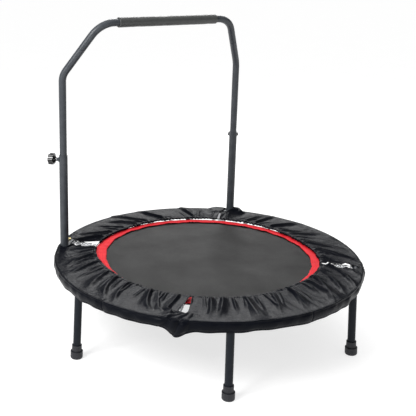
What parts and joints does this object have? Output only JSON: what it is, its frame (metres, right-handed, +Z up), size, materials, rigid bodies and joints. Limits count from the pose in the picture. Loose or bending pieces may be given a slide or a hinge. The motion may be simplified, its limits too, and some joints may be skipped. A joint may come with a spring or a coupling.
{
  "type": "mini trampoline",
  "caption": "Folding round rebounder: mat on springs in a hinged tube ring with gathered skirt cover, screw-in legs with rubber feet and a height-adjustable padded handle.",
  "frame": {"origin": "on the floor under the centre of the ring", "axes": "+Z up, +Y from the ring's centre towards the handle, +X to the right when facing the handle"},
  "size_m": [1.0324, 1.02, 1.0155],
  "materials": {
    "frame_paint": "satin charcoal powder coat",
    "handle_paint": "satin charcoal powder coat",
    "zinc_steel": "zinc plated",
    "spring_steel": "galvanised wire",
    "mat_weave": "woven polypropylene",
    "red_webbing": "woven webbing",
    "cover_fabric": "coated polyester",
    "elastic": "covered elastic",
    "foot_rubber": "matte",
    "saddle_plastic": "matte",
    "yellow_zinc": "yellow zinc plated",
    "knob_plastic": "glossy",
    "grip_foam": "closed-cell foam"
  },
  "bodies": {
    "rear_half": {"frame_arc_back": "frame_paint", "frame_arc_left": "frame_paint", "leg_back_right": "frame_paint", "leg_back_left": "frame_paint", "leg_left": "frame_paint", "handle_bracket_left": "handle_paint", "handle_bracket_right": "handle_paint", "handle_post_left": "handle_paint", "handle_post_right": "handle_paint", "knob_boss_left": "handle_paint", "knob_boss_right": "handle_paint", "hinge_leaves_back": "zinc_steel", "hinge_leaves_left": "zinc_steel", "hinge_bolts_rear": "zinc_steel", "leaf_rivets_rear": "zinc_steel", "leg_studs_rear": "zinc_steel", "leg_nuts_rear": "zinc_steel", "bracket_nuts": "zinc_steel", "springs_rear": "spring_steel", "mat_rings_rear": "spring_steel", "jumping_mat_rear": "mat_weave", "mat_webbing_rear": "red_webbing", "skirt_cover_rear": "cover_fabric", "skirt_elastic_rear": "elastic", "foot_back_right": "foot_rubber", "foot_back_left": "foot_rubber", "foot_left": "foot_rubber", "leg_saddles_rear": "saddle_plastic", "bracket_bolts": "yellow_zinc"},
    "folding_half": {"frame_arc_front": "frame_paint", "frame_arc_right": "frame_paint", "hinge_leaves_front": "zinc_steel", "hinge_leaves_right": "zinc_steel", "hinge_bolts_front": "zinc_steel", "leaf_rivets_front": "zinc_steel", "springs_front": "spring_steel", "mat_rings_front": "spring_steel", "jumping_mat_front": "mat_weave", "mat_webbing_front": "red_webbing", "skirt_cover_front": "cover_fabric", "skirt_elastic_front": "elastic", "leg_right": "frame_paint", "leg_front_left": "frame_paint", "leg_front_right": "frame_paint", "foot_right": "foot_rubber", "foot_front_left": "foot_rubber", "foot_front_right": "foot_rubber", "leg_studs_front": "zinc_steel", "leg_saddles_front": "saddle_plastic", "leg_nuts_front": "zinc_steel"},
    "handle": {"handle_upright_left": "handle_paint", "handle_upright_right": "handle_paint", "handle_top_bar": "handle_paint", "foam_grip": "grip_foam"},
    "left_knob": {"clamp_knob_left": "knob_plastic", "knob_screw_left": "zinc_steel"},
    "right_knob": {"clamp_knob_right": "knob_plastic", "knob_screw_right": "zinc_steel"}
  },
  "joints": [
    {"name": "frame_fold", "type": "hinge", "parent": "rear_half", "child": "folding_half", "pos_m": [0, 0, 0.2029], "axis": [0.7071, 0.7071, 0], "range_deg": [0, 110]},
    {"name": "handle_height", "type": "slide", "parent": "rear_half", "child": "handle", "axis": [0, 0, 1], "range_m": [-0.11, 0.11]},
    {"name": "left_knob_turn", "type": "hinge", "parent": "rear_half", "child": "left_knob", "pos_m": [-0.36792, 0.31983, 0.545], "axis": [-0.6428, 0.766, 0], "continuous": true},
    {"name": "right_knob_turn", "type": "hinge", "parent": "rear_half", "child": "right_knob", "pos_m": [0.36792, 0.31983, 0.545], "axis": [0.6428, 0.766, 0], "continuous": true}
  ]
}
